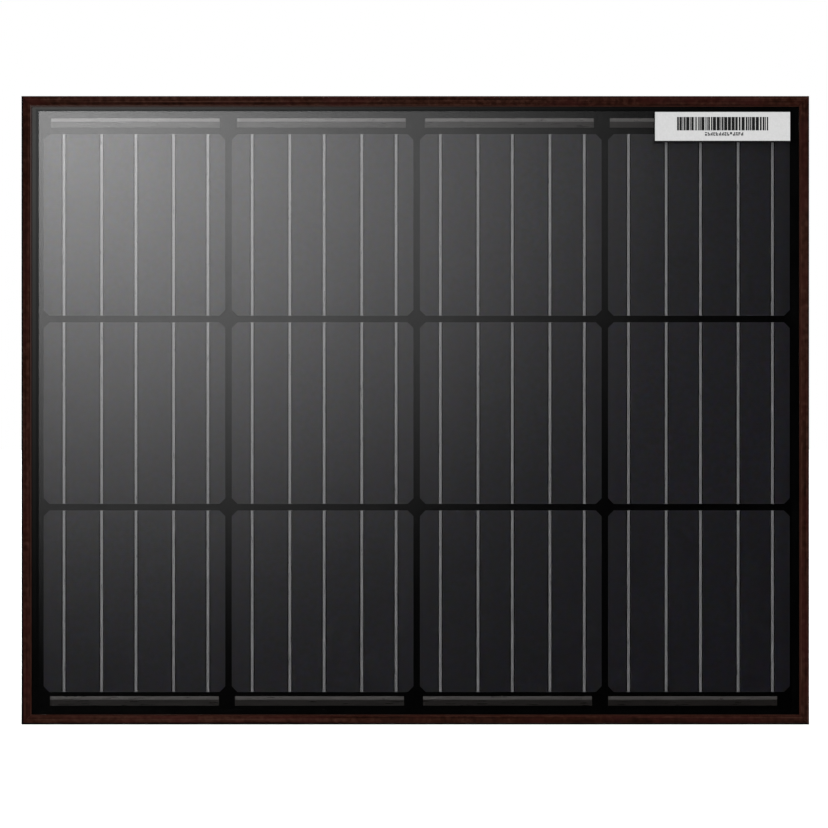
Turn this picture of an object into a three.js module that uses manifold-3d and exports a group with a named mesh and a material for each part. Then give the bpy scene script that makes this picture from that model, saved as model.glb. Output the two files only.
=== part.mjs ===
// Framed twelve-cell solar panel with a junction box on its back.
// Millimetres, +Z up. The glass faces -Y. The origin is the centre of the rear mounting plane, so the
// panel runs from y = -PANEL_DEPTH at its front to y = 0 at its back.
import * as THREE from 'three';
import { mergeVertices } from 'three/addons/utils/BufferGeometryUtils.js';
import Module from 'manifold-3d';

const wasm = await Module();
wasm.setup();

// ---- Driving dimensions ----

const PANEL_WIDTH = 678;
const PANEL_HEIGHT = 541;
const PANEL_DEPTH = 30;

// Frame extrusion. Distances "in" are measured from the outer face towards the panel's middle, and
// depths from the front face towards the back.
const WALL = 1.5;
const LIP_IN = 8.5;
const GROOVE_BACK = 7.5;
const CHAMBER_IN = 13;
const CHAMBER_BACK = 19;
const FLANGE_IN = 24;
const EDGE_RADIUS = 0.6;
const MITRE_GAP = 0.05;
const KEY_CLEARANCE = 0.3;
const KEY_LEG = 38;
const KEY_RIBS = 4;
const KEY_RIB_PITCH = 5;
const KEY_RIB_DEPTH = 0.7;

const SLOT_X = 170;
const SLOT_IN = 13;
const SLOT_LENGTH = 14;
const SLOT_WIDTH = 9;
const SLOT_FLAT = 0.001;
const DRAIN_FROM_END = 46;
const DRAIN_LENGTH = 10;
const DRAIN_WIDTH = 3.2;
const GROUND_HOLE_RADIUS = 2.1;

// Laminate, from the front: gasket lip, glass, front encapsulant, cells, rear encapsulant, backsheet.
const SHEET_GAP = 0.05;
const GASKET_THICK = 0.5;
const GASKET_GAP = 0.2;
const REAR_LEG_IN = 12;
const GLASS_THICK = 3.2;
const FRONT_FILM = 0.45;
const CELL_THICK = 0.2;
const REAR_FILM = 0.4;
const BACKSHEET_THICK = 0.3;
const GLASS_IN = 2.5;
const BAND_SIDE = 6.2;
const BAND_TOP = 4.4;

// Cells: pseudo-squares cut from a round ingot, in a 4 by 3 matrix set slightly off centre.
const CELL_SIZE = 156.75;
const CELL_PITCH = 162.4;
const INGOT_RADIUS = 107.4;
const COLUMNS = 4;
const ROWS = 3;
const MATRIX_X = 1.2;
const MATRIX_Z = -2.4;

const BUS_LENGTH = 146;
const BUS_HEIGHT = 8.1;
const BUS_TOP_Z = 248;
const BUS_BOTTOM_Z = -250.9;
const BUS_TOP_SHIFT = [0.9, -1.1, -1.2, -4];
const BUS_BOTTOM_SHIFT = [0, -2.7, -2.8, -5.4];

const LABEL_RIGHT = 322.9;
const LABEL_TOP = 257;
const LABEL_WIDTH = 116.4;
const LABEL_HEIGHT = 24.8;
const LABEL_THICK = 0.15;

// Junction box: x and z from its own centre, depths from the panel's front face.
const BOX_Z = 186;
const BOX_WIDTH = 104;
const BOX_HEIGHT = 88;
const BOX_RADIUS = 8;
const BOX_WALL = 2.4;
const BOX_BACK = 8.45;
const BOX_FLOOR = 10.45;
const BOX_RIM = 26;
const WINDOW_Z = 31;
const WINDOW_WIDTH = 64;
const WINDOW_HEIGHT = 9;
const ADHESIVE_INSET = 2;
const ADHESIVE_BAND = 5;
const POST_RADIUS = 3.4;
const POST_TOP = 15;
const PILOT_RADIUS = 1.5;

const TERMINAL_X = 24;
const TERMINAL_Z = 6;
const TERMINAL_WIDTH = 14;
const TERMINAL_THICK = 1.2;
const SCREW_SPACING = 20;
const SCREW_CLEARANCE = 1.6;
const SCREW_SHANK = 1.3;
const SCREW_REACH = 3.5;
const SCREW_HEAD_RADIUS = 2.8;
const SCREW_HEAD_HEIGHT = 1.8;
const SCREW_SLOT_WIDTH = 0.8;
const LEAD_WIDTH = 5;
const LEAD_THICK = 0.4;
const DIODE_RADIUS = 2.65;
const DIODE_LENGTH = 9.5;
const DIODE_WIRE = 0.55;

const LID_INNER = 26.8;
const LID_OUTER = 28.6;
const LID_GAP = 0.6;
const LID_SKIRT = 1.6;
const SKIRT_DEPTH = 25.2;
const RAISED_WIDTH = 84;
const RAISED_HEIGHT = 64;
const RAISED_RADIUS = 6;
const RAISED_DEPTH = 29.3;
const TAB_X = 42;
const TAB_WIDTH = 12;
const TAB_DEPTH = 16;
const GRIP_STAND_OFF = 0.8;
const SEAL_INSET = 0.4;
const SEAL_SQUASH = 0.1;

const HINGE_Z = 47.8;
const HINGE_DEPTH = 25.5;
const KNUCKLE_RADIUS = 3.1;
const KNUCKLE_EAR = 6;
const PIN_RADIUS = 1.5;
const PIN_BORE = 1.7;
const PIN_HALF = 28;
const PIN_HEAD_RADIUS = 2.4;
const PIN_HEAD_LENGTH = 1;
const LID_KNUCKLE = 19.9;
const LID_ARM = 8;
const BOX_KNUCKLE = [20.4, 27];

// Cable glands: radii, and distances down from the box's lower wall.
const GLAND_X = 22;
const GLAND_DEPTH = 17.6;
const GLAND_FLATS = 14;
const GLAND_SHANK = 5.8;
const GLAND_THREAD = 5.4;
const GLAND_BORE = 4.2;
const SHANK_INSIDE = 8.4;
const FLANGE_LENGTH = 5;
const THREAD_END = 13;
const CLAW_END = 17;
const CLAW_SLIT = 0.9;
const CLAW_SLITS = 3;
const SEAL_BORE = 3.2;
const SEAL_TOP = 8;
const SEAL_END = 16.8;
const NUT_TOP = 5.6;
const NUT_RADIUS = 8.1;
const NUT_CLEARANCE = 0.3;
const NUT_SHOULDER = 17.6;
const NUT_MOUTH = 3.6;
const NUT_END = 20;
const LOCK_NUT_FLATS = 13.6;
const LOCK_NUT_LENGTH = 3.4;
const BORE_CLEARANCE = 0.2;

// How far a cutting solid runs past the face that it cuts, and how deep a joined piece is sunk.
const CUT = 1;
const SINK = 0.5;

// ---- Materials ----

function material(color, roughness, metalness) {
  return new THREE.MeshStandardMaterial({ color, roughness, metalness });
}

const anodised = material(0x2b160f, 0.4, 0.6);
const castAlloy = material(0x8c8e90, 0.45, 1);
const rubber = material(0x36383a, 0.75, 0);
const clear = material(0xe6eef0, 0.05, 0);
const film = material(0xdfe3e4, 0.3, 0);
const silicon = material(0x1a1a1d, 0.35, 0.1);
const tinned = material(0x77787a, 0.4, 0.8);
const blackFilm = material(0x050505, 0.6, 0);
const paper = material(0xd6d6d6, 0.7, 0);
const blackPlastic = material(0x141415, 0.55, 0);
const copper = material(0xb87a4b, 0.35, 1);
const epoxy = material(0x0c0c0c, 0.4, 0);
const steel = material(0x9a9da0, 0.35, 1);
const silicone = material(0xd8d8d4, 0.6, 0);

// ---- Solids ----

function solid(geometry) {
  const bare = geometry.clone();
  bare.deleteAttribute('normal');
  bare.deleteAttribute('uv');
  const merged = mergeVertices(bare, 1e-4);
  const mesh = new wasm.Mesh({
    numProp: 3,
    vertProperties: new Float32Array(merged.attributes.position.array),
    triVerts: new Uint32Array(merged.index.array),
  });
  return new wasm.Manifold(mesh);
}

function geometryOf(manifold) {
  const mesh = manifold.getMesh();
  const geometry = new THREE.BufferGeometry();
  geometry.setAttribute('position', new THREE.BufferAttribute(mesh.vertProperties, 3));
  geometry.setIndex(new THREE.BufferAttribute(mesh.triVerts, 1));
  geometry.computeVertexNormals();
  return geometry;
}

function joined(...pieces) {
  return pieces.reduce((whole, piece) => whole.add(piece));
}

function depthToY(depth) {
  return depth - PANEL_DEPTH;
}

// An outline in x and z, made solid between two depths.
function plate(shape, front, back, curveSegments = 6) {
  const geometry = new THREE.ExtrudeGeometry(shape, {
    depth: back - front,
    bevelEnabled: false,
    curveSegments,
  });
  geometry.rotateX(Math.PI / 2);
  return geometry.translate(0, depthToY(back), 0);
}

function block(width, height, front, back, x = 0, z = 0) {
  const geometry = new THREE.BoxGeometry(width, back - front, height);
  return geometry.translate(x, depthToY((front + back) / 2), z);
}

function roundedRectangle(width, height, radius) {
  const x = width / 2 - radius;
  const z = height / 2 - radius;
  const quarter = Math.PI / 2;
  const shape = new THREE.Shape();
  shape.absarc(x, z, radius, 0, quarter);
  shape.absarc(-x, z, radius, quarter, 2 * quarter);
  shape.absarc(-x, -z, radius, 2 * quarter, 3 * quarter);
  shape.absarc(x, -z, radius, 3 * quarter, 4 * quarter);
  return shape;
}

function roundedRing(width, height, radius, band) {
  const shape = roundedRectangle(width, height, radius);
  shape.holes.push(roundedRectangle(width - 2 * band, height - 2 * band, radius - band));
  return shape;
}

// A slot with round ends, its long side along x. A small flat keeps the two arcs of an end apart.
function slotShape(length, width) {
  return roundedRectangle(length, width, width / 2 - SLOT_FLAT);
}

function rodAlongX(radius, from, to, depth, z, segments = 16) {
  const geometry = new THREE.CylinderGeometry(radius, radius, to - from, segments);
  geometry.rotateZ(Math.PI / 2);
  return geometry.translate((from + to) / 2, depthToY(depth), z);
}

function rodAlongDepth(radius, front, back, x, z, segments = 16) {
  const geometry = new THREE.CylinderGeometry(radius, radius, back - front, segments);
  return geometry.translate(x, depthToY((front + back) / 2), z);
}

// A profile of [radius, distance] points turned about the z axis. Distance is measured downwards, the
// way a cable gland points, and a profile that doesn't end on the axis closes on its first point.
function turned(profile, segments = 24) {
  const points = profile.map(([radius, down]) => new THREE.Vector2(radius, -down)).reverse();
  if (profile[0][0] > 0) {
    points.push(points[0]);
  }
  return new THREE.LatheGeometry(points, segments).rotateX(Math.PI / 2);
}

function hexagon(flats, top, bottom) {
  const geometry = new THREE.CylinderGeometry(flats / Math.sqrt(3), flats / Math.sqrt(3), bottom - top, 6);
  geometry.rotateY(Math.PI / 6);
  geometry.rotateX(Math.PI / 2);
  return geometry.translate(0, 0, -(top + bottom) / 2);
}

const panel = new THREE.Group();
panel.name = 'solar_panel';

function add(name, geometry, look, parent = panel) {
  const mesh = new THREE.Mesh(geometry, look);
  mesh.name = name;
  parent.add(mesh);
  return mesh;
}

// ---- Frame ----

function railSection() {
  const r = EDGE_RADIUS;
  const section = new THREE.Shape();
  section.absarc(r, r, r, Math.PI, 1.5 * Math.PI);
  section.absarc(LIP_IN - r, r, r, 1.5 * Math.PI, 2 * Math.PI);
  section.lineTo(LIP_IN, WALL);
  section.lineTo(WALL, WALL);
  section.lineTo(WALL, GROOVE_BACK);
  section.lineTo(CHAMBER_IN, GROOVE_BACK);
  section.lineTo(CHAMBER_IN, CHAMBER_BACK);
  section.lineTo(WALL, CHAMBER_BACK);
  section.lineTo(WALL, PANEL_DEPTH - WALL);
  section.lineTo(FLANGE_IN, PANEL_DEPTH - WALL);
  section.lineTo(FLANGE_IN, PANEL_DEPTH);
  section.absarc(r, PANEL_DEPTH - r, r, 0.5 * Math.PI, Math.PI);
  section.closePath();
  const chamber = new THREE.Path();
  chamber.moveTo(WALL, GROOVE_BACK + WALL);
  chamber.lineTo(CHAMBER_IN - WALL, GROOVE_BACK + WALL);
  chamber.lineTo(CHAMBER_IN - WALL, CHAMBER_BACK - WALL);
  chamber.lineTo(WALL, CHAMBER_BACK - WALL);
  chamber.closePath();
  section.holes.push(chamber);
  return section;
}

// A section of (in, depth) points run along x and cut at 45 degrees at both ends. The rail lies with
// its outer face at z = 0 and its inner side towards +Z.
function mitredRun(section, length, curveSegments = 3) {
  const geometry = new THREE.ExtrudeGeometry(section, {
    depth: 1,
    bevelEnabled: false,
    curveSegments,
  });
  const position = geometry.attributes.position;
  for (let i = 0; i < position.count; i++) {
    const inward = position.getX(i);
    const depth = position.getY(i);
    const side = 1 - 2 * position.getZ(i);
    position.setXYZ(i, side * (length / 2 - inward - MITRE_GAP), depthToY(depth), inward);
  }
  return geometry;
}

function rail(length, cuts) {
  const run = solid(mitredRun(railSection(), length));
  return geometryOf(cuts.reduce((whole, cut) => whole.subtract(solid(cut)), run));
}

function flangeSlot(x, inward, length, width) {
  const cut = plate(slotShape(length, width), PANEL_DEPTH - WALL - CUT, PANEL_DEPTH + CUT, 8);
  return cut.translate(x, 0, inward);
}

function flangeHole(x, inward, radius) {
  return rodAlongDepth(radius, PANEL_DEPTH - WALL - CUT, PANEL_DEPTH + CUT, x, inward);
}

// The four sides, each turned about y from the bottom rail's place.
const SIDES = [
  { name: 'bottom', turn: 0, length: PANEL_WIDTH, band: BAND_TOP, slots: true },
  { name: 'left', turn: Math.PI / 2, length: PANEL_HEIGHT, band: BAND_SIDE, slots: false },
  { name: 'top', turn: Math.PI, length: PANEL_WIDTH, band: BAND_TOP, slots: true },
  { name: 'right', turn: -Math.PI / 2, length: PANEL_HEIGHT, band: BAND_SIDE, slots: false },
];

function sideGroup({ turn, length }) {
  const across = length === PANEL_WIDTH ? PANEL_HEIGHT : PANEL_WIDTH;
  const group = new THREE.Group();
  group.rotation.y = turn;
  group.position.set(-Math.sin(turn), 0, -Math.cos(turn)).multiplyScalar(across / 2);
  panel.add(group);
  return group;
}

function railCuts({ length, slots }) {
  const drain = length / 2 - DRAIN_FROM_END;
  const cuts = [-1, 1].map((side) => flangeSlot(side * drain, SLOT_IN, DRAIN_LENGTH, DRAIN_WIDTH));
  if (slots) {
    for (const side of [-1, 1]) {
      cuts.push(flangeSlot(side * SLOT_X, SLOT_IN, SLOT_LENGTH, SLOT_WIDTH));
    }
  } else {
    cuts.push(flangeHole(0, SLOT_IN, GROUND_HOLE_RADIUS));
  }
  return cuts;
}

// A U-section strip round the edge of the laminate. Its front lip shows as a band inside the frame.
function gasketSection(band) {
  const outer = WALL + GASKET_GAP;
  const front = WALL + SHEET_GAP;
  const back = GROOVE_BACK - SHEET_GAP;
  const web = outer + GASKET_THICK;
  const lip = LIP_IN + band;
  const section = new THREE.Shape();
  section.moveTo(outer, front);
  section.lineTo(lip, front);
  section.lineTo(lip, front + GASKET_THICK);
  section.lineTo(web, front + GASKET_THICK);
  section.lineTo(web, back - GASKET_THICK);
  section.lineTo(REAR_LEG_IN, back - GASKET_THICK);
  section.lineTo(REAR_LEG_IN, back);
  section.lineTo(outer, back);
  section.closePath();
  return section;
}

// The strip's ends are cut so that bands of different widths meet corner to corner.
function gasketStrip({ length, band }) {
  const own = LIP_IN + band;
  const next = LIP_IN + (band === BAND_TOP ? BAND_SIDE : BAND_TOP);
  const geometry = mitredRun(gasketSection(band), length);
  const position = geometry.attributes.position;
  for (let i = 0; i < position.count; i++) {
    if (position.getZ(i) > LIP_IN) {
      const side = Math.sign(position.getX(i));
      position.setX(i, side * (length / 2 - next - MITRE_GAP));
      position.setZ(i, own);
    }
  }
  return geometry;
}

for (const side of SIDES) {
  const group = sideGroup(side);
  add(`frame_rail_${side.name}`, rail(side.length, railCuts(side)), anodised, group);
  add(`glass_gasket_${side.name}`, gasketStrip(side), rubber, group);
}

// An L-shaped key with pressed ribs, one leg in the chamber of each rail. Built for the corner where
// both rails run towards +x and +z.
function cornerKey() {
  const near = WALL + KEY_CLEARANCE;
  const far = CHAMBER_IN - WALL - KEY_CLEARANCE;
  const root = far - KEY_RIB_DEPTH;
  const outline = new THREE.Shape();
  outline.moveTo(near, near);
  outline.lineTo(KEY_LEG, near);
  outline.lineTo(KEY_LEG, root);
  for (let i = 0; i < KEY_RIBS; i++) {
    const rib = KEY_LEG - i * KEY_RIB_PITCH;
    outline.lineTo(rib - 0.6 * KEY_RIB_PITCH, far);
    outline.lineTo(rib - KEY_RIB_PITCH, root);
  }
  outline.lineTo(far, far);
  for (let i = KEY_RIBS - 1; i >= 0; i--) {
    const rib = KEY_LEG - i * KEY_RIB_PITCH;
    outline.lineTo(root, rib - KEY_RIB_PITCH);
    outline.lineTo(far, rib - 0.6 * KEY_RIB_PITCH);
  }
  outline.lineTo(root, KEY_LEG);
  outline.lineTo(near, KEY_LEG);
  outline.closePath();
  const front = GROOVE_BACK + WALL + KEY_CLEARANCE;
  const back = CHAMBER_BACK - WALL - KEY_CLEARANCE;
  return plate(outline, front, back);
}

const CORNERS = [
  { name: 'bottom_left', turn: 0, x: -1, z: -1 },
  { name: 'top_left', turn: Math.PI / 2, x: -1, z: 1 },
  { name: 'top_right', turn: Math.PI, x: 1, z: 1 },
  { name: 'bottom_right', turn: -Math.PI / 2, x: 1, z: -1 },
];

for (const corner of CORNERS) {
  const key = add(`corner_key_${corner.name}`, cornerKey(), castAlloy);
  key.rotation.y = corner.turn;
  key.position.set((corner.x * PANEL_WIDTH) / 2, 0, (corner.z * PANEL_HEIGHT) / 2);
}

// ---- Laminate ----

const GLASS_FRONT = WALL + SHEET_GAP + GASKET_THICK + SHEET_GAP;
const FILM_FRONT = GLASS_FRONT + GLASS_THICK + SHEET_GAP;
const CELL_FRONT = FILM_FRONT + FRONT_FILM + SHEET_GAP;
const REAR_FILM_FRONT = CELL_FRONT + CELL_THICK + 2 * SHEET_GAP;
const BACKSHEET_FRONT = REAR_FILM_FRONT + REAR_FILM + SHEET_GAP;

const SHEETS = [
  { name: 'front_glass', front: GLASS_FRONT, thick: GLASS_THICK, look: clear },
  { name: 'encapsulant_front', front: FILM_FRONT, thick: FRONT_FILM, look: film },
  { name: 'encapsulant_rear', front: REAR_FILM_FRONT, thick: REAR_FILM, look: film },
  { name: 'backsheet', front: BACKSHEET_FRONT, thick: BACKSHEET_THICK, look: blackFilm },
];

for (const { name, front, thick, look } of SHEETS) {
  const width = PANEL_WIDTH - 2 * GLASS_IN;
  const height = PANEL_HEIGHT - 2 * GLASS_IN;
  add(name, block(width, height, front, front + thick), look);
}

// A square with its corners on the ingot's circle.
function cellShape() {
  const half = CELL_SIZE / 2;
  const start = Math.acos(half / INGOT_RADIUS);
  const end = Math.PI / 2 - start;
  const shape = new THREE.Shape();
  for (let corner = 0; corner < 4; corner++) {
    const turn = (corner * Math.PI) / 2;
    shape.absarc(0, 0, INGOT_RADIUS, turn + start, turn + end);
  }
  shape.closePath();
  return shape;
}

function columnX(column) {
  return MATRIX_X + (column - (COLUMNS - 1) / 2) * CELL_PITCH;
}

function rowZ(row) {
  return MATRIX_Z + ((ROWS - 1) / 2 - row) * CELL_PITCH;
}

for (let row = 0; row < ROWS; row++) {
  for (let column = 0; column < COLUMNS; column++) {
    const geometry = plate(cellShape(), CELL_FRONT, CELL_FRONT + CELL_THICK, 3);
    const cell = add(`cell_row${row + 1}_col${column + 1}`, geometry, silicon);
    cell.position.set(columnX(column), 0, rowZ(row));
  }
}

function busBar(name, x, z) {
  const front = CELL_FRONT;
  const back = CELL_FRONT + CELL_THICK;
  add(name, block(BUS_LENGTH, BUS_HEIGHT, front, back, x, z), tinned);
}

for (let column = 0; column < COLUMNS; column++) {
  busBar(`bus_bar_top_${column + 1}`, columnX(column) + BUS_TOP_SHIFT[column], BUS_TOP_Z);
  busBar(`bus_bar_bottom_${column + 1}`, columnX(column) + BUS_BOTTOM_SHIFT[column], BUS_BOTTOM_Z);
}

const LABEL_BACK = GLASS_FRONT - SHEET_GAP;
const LABEL_X = LABEL_RIGHT - LABEL_WIDTH / 2;
const LABEL_Z = LABEL_TOP - LABEL_HEIGHT / 2;
add(
  'label',
  block(LABEL_WIDTH, LABEL_HEIGHT, LABEL_BACK - LABEL_THICK, LABEL_BACK, LABEL_X, LABEL_Z),
  paper,
);

// ---- Junction box ----

const box = new THREE.Group();
box.position.z = BOX_Z;
panel.add(box);

const POSTS = [-1, 1].flatMap((x) => [-1, 1].map((z) => [
  x * TERMINAL_X,
  TERMINAL_Z + (z * SCREW_SPACING) / 2,
]));
const GLAND_PLACES = [
  ['left', -GLAND_X],
  ['right', GLAND_X],
];

// One of the box's two hinge knuckles, with the ear that joins it to the wall.
function boxKnuckle(side) {
  const [near, far] = BOX_KNUCKLE;
  const from = side > 0 ? near : -far;
  const to = side > 0 ? far : -near;
  const middle = (from + to) / 2;
  const earZ = BOX_HEIGHT / 2 + CUT;
  const ear = block(to - from, KNUCKLE_EAR, HINGE_DEPTH - KNUCKLE_RADIUS, HINGE_DEPTH, middle, earZ);
  return solid(rodAlongX(KNUCKLE_RADIUS, from, to, HINGE_DEPTH, HINGE_Z)).add(solid(ear));
}

function pinHole() {
  const half = PIN_HALF + 2 * CUT;
  return solid(rodAlongX(PIN_BORE, -half, half, HINGE_DEPTH, HINGE_Z));
}

function glandEntry(x) {
  const radius = GLAND_SHANK + BORE_CLEARANCE;
  const hole = new THREE.CylinderGeometry(radius, radius, 2 * BOX_WALL, 24);
  hole.rotateX(Math.PI / 2);
  return solid(hole.translate(x, depthToY(GLAND_DEPTH), (BOX_WALL - BOX_HEIGHT) / 2));
}

function boxBase() {
  const outline = roundedRectangle(BOX_WIDTH, BOX_HEIGHT, BOX_RADIUS);
  const inside = roundedRectangle(
    BOX_WIDTH - 2 * BOX_WALL,
    BOX_HEIGHT - 2 * BOX_WALL,
    BOX_RADIUS - BOX_WALL,
  );
  const window = block(WINDOW_WIDTH, WINDOW_HEIGHT, BOX_BACK - CUT, BOX_FLOOR + CUT, 0, WINDOW_Z);
  const hollow = plate(inside, BOX_FLOOR, BOX_RIM + CUT);
  const shell = solid(plate(outline, BOX_BACK, BOX_RIM)).subtract(solid(hollow));
  const posts = POSTS.map(([x, z]) => rodAlongDepth(POST_RADIUS, BOX_FLOOR - SINK, POST_TOP, x, z));
  const pilots = POSTS.map(
    ([x, z]) => rodAlongDepth(PILOT_RADIUS, BOX_FLOOR + SINK, POST_TOP + CUT, x, z, 12),
  );
  const entries = GLAND_PLACES.map(([, x]) => glandEntry(x));
  const whole = joined(shell, ...posts.map(solid), boxKnuckle(-1), boxKnuckle(1));
  const cuts = [solid(window), ...pilots.map(solid), ...entries, pinHole()];
  return cuts.reduce((left, cut) => left.subtract(cut), whole);
}

// Two snap tabs on the lid's lower edge, each with a grip that stands off it.
function lidTabs() {
  const outerZ = -BOX_HEIGHT / 2 - LID_GAP - LID_SKIRT;
  const tabZ = outerZ + LID_SKIRT / 2;
  const gripEnd = TAB_DEPTH + LID_SKIRT;
  const gripHeight = LID_SKIRT + GRIP_STAND_OFF;
  return [-TAB_X, TAB_X].flatMap((x) => [
    solid(block(TAB_WIDTH, LID_SKIRT, TAB_DEPTH, LID_OUTER - SINK, x, tabZ)),
    solid(block(TAB_WIDTH, gripHeight, TAB_DEPTH, gripEnd, x, outerZ + LID_SKIRT - gripHeight / 2)),
  ]);
}

// The lid is a shallow cap with a skirt on three sides. The fourth side carries the hinge.
function lidBody() {
  const grow = LID_GAP + LID_SKIRT;
  const openSide = 20;
  const outline = roundedRectangle(BOX_WIDTH + 2 * grow, BOX_HEIGHT + grow, BOX_RADIUS);
  const cap = plate(outline, SKIRT_DEPTH, LID_OUTER).translate(0, 0, -grow / 2);
  const hollow = roundedRectangle(
    BOX_WIDTH + 2 * LID_GAP,
    BOX_HEIGHT + openSide + LID_GAP,
    BOX_RADIUS + LID_GAP,
  );
  const inside = plate(hollow, SKIRT_DEPTH - CUT, LID_INNER).translate(0, 0, (openSide - LID_GAP) / 2);
  const raisedOutline = roundedRectangle(RAISED_WIDTH, RAISED_HEIGHT, RAISED_RADIUS);
  const raised = plate(raisedOutline, LID_OUTER - SINK, RAISED_DEPTH);
  const armBack = HINGE_DEPTH + KNUCKLE_RADIUS;
  const arm = block(2 * LID_KNUCKLE, LID_ARM, LID_INNER, armBack, 0, HINGE_Z - LID_ARM / 2);
  const knuckle = rodAlongX(KNUCKLE_RADIUS, -LID_KNUCKLE, LID_KNUCKLE, HINGE_DEPTH, HINGE_Z);
  const shell = solid(cap).subtract(solid(inside));
  return joined(shell, solid(raised), solid(arm), solid(knuckle), ...lidTabs()).subtract(pinHole());
}

function hingePin() {
  const rod = solid(rodAlongX(PIN_RADIUS, -PIN_HALF, PIN_HALF + SINK, HINGE_DEPTH, HINGE_Z));
  const head = rodAlongX(PIN_HEAD_RADIUS, PIN_HALF, PIN_HALF + PIN_HEAD_LENGTH, HINGE_DEPTH, HINGE_Z);
  return geometryOf(rod.add(solid(head)));
}

function adhesiveRing() {
  const outline = roundedRing(
    BOX_WIDTH - 2 * ADHESIVE_INSET,
    BOX_HEIGHT - 2 * ADHESIVE_INSET,
    BOX_RADIUS - ADHESIVE_INSET,
    ADHESIVE_BAND,
  );
  return plate(outline, BACKSHEET_FRONT + BACKSHEET_THICK + SHEET_GAP, BOX_BACK - SHEET_GAP);
}

function lidSeal() {
  const outline = roundedRing(
    BOX_WIDTH - 2 * SEAL_INSET,
    BOX_HEIGHT - 2 * SEAL_INSET,
    BOX_RADIUS - SEAL_INSET,
    LID_SKIRT,
  );
  return plate(outline, BOX_RIM + SEAL_SQUASH, LID_INNER - SEAL_SQUASH);
}

add('jbox_adhesive', adhesiveRing(), silicone, box);
add('jbox_base', geometryOf(boxBase()), blackPlastic, box);
add('jbox_lid', geometryOf(lidBody()), blackPlastic, box);
add('jbox_hinge_pin', hingePin(), steel, box);
add('jbox_lid_seal', lidSeal(), rubber, box);

// ---- Terminals, leads and bypass diode ----

const BAR_FRONT = POST_TOP + SHEET_GAP;
const BAR_BACK = BAR_FRONT + TERMINAL_THICK;
const SCREW_SEAT = BAR_BACK + SHEET_GAP;

function terminalBar(x) {
  const height = SCREW_SPACING + TERMINAL_WIDTH;
  const bar = solid(block(TERMINAL_WIDTH, height, BAR_FRONT, BAR_BACK, x, TERMINAL_Z));
  const holes = POSTS.filter(([postX]) => postX === x)
    .map(([, z]) => solid(rodAlongDepth(SCREW_CLEARANCE, BAR_FRONT - CUT, BAR_BACK + CUT, x, z, 12)));
  return geometryOf(holes.reduce((left, hole) => left.subtract(hole), bar));
}

// A pan-head screw with a straight slot, its tip in a post of the box.
function terminalScrew(x, z) {
  const top = SCREW_SEAT + SCREW_HEAD_HEIGHT;
  const shank = solid(rodAlongDepth(SCREW_SHANK, POST_TOP - SCREW_REACH, SCREW_SEAT + SINK, x, z, 12));
  const head = solid(rodAlongDepth(SCREW_HEAD_RADIUS, SCREW_SEAT, top, x, z, 18));
  const slotFloor = SCREW_SEAT + SCREW_HEAD_HEIGHT / 2;
  const slot = block(3 * SCREW_HEAD_RADIUS, SCREW_SLOT_WIDTH, slotFloor, top + CUT, x, z);
  return geometryOf(head.subtract(solid(slot)).add(shank));
}

// A flat lead that comes up through the window in the box and lies down on its terminal bar.
function stringLead(x) {
  const start = BOX_BACK - SINK;
  const end = TERMINAL_Z + SCREW_SPACING / 2 + POST_RADIUS;
  const bend = WINDOW_Z - CUT;
  const flat = new THREE.Shape();
  flat.moveTo(end, SCREW_SEAT);
  flat.lineTo(end, SCREW_SEAT + LEAD_THICK);
  flat.lineTo(bend + LEAD_THICK, SCREW_SEAT + LEAD_THICK);
  flat.lineTo(bend + LEAD_THICK, start);
  flat.lineTo(bend, start);
  flat.lineTo(bend, SCREW_SEAT);
  flat.closePath();
  const geometry = new THREE.ExtrudeGeometry(flat, { depth: LEAD_WIDTH, bevelEnabled: false });
  const position = geometry.attributes.position;
  for (let i = 0; i < position.count; i++) {
    const z = position.getX(i);
    const depth = position.getY(i);
    position.setXYZ(i, x + LEAD_WIDTH / 2 - position.getZ(i), depthToY(depth), z);
  }
  return geometry;
}

// An axial diode: round body with a wire at each end, lying on both bars.
function bypassDiode() {
  const reach = TERMINAL_X + 3;
  const depth = SCREW_SEAT + DIODE_WIRE;
  const rod = rodAlongX(DIODE_WIRE, -reach, reach, depth, TERMINAL_Z, 10);
  const body = rodAlongX(DIODE_RADIUS, -DIODE_LENGTH / 2, DIODE_LENGTH / 2, depth, TERMINAL_Z, 20);
  return geometryOf(solid(rod).add(solid(body)));
}

for (const [name, x] of [['negative', -TERMINAL_X], ['positive', TERMINAL_X]]) {
  add(`terminal_${name}`, terminalBar(x), copper, box);
  add(`string_lead_${name}`, stringLead(x), tinned, box);
  for (const [place, z] of [['lower', -1], ['upper', 1]]) {
    const screwZ = TERMINAL_Z + (z * SCREW_SPACING) / 2;
    add(`terminal_screw_${name}_${place}`, terminalScrew(x, screwZ), steel, box);
  }
}
add('bypass_diode', bypassDiode(), epoxy, box);

// ---- Cable glands ----

// A round hole down the axis, from one distance to another.
function axialHole(radius, top, bottom) {
  return solid(turned([
    [0, top],
    [radius, top],
    [radius, bottom],
    [0, bottom],
  ]));
}

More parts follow.
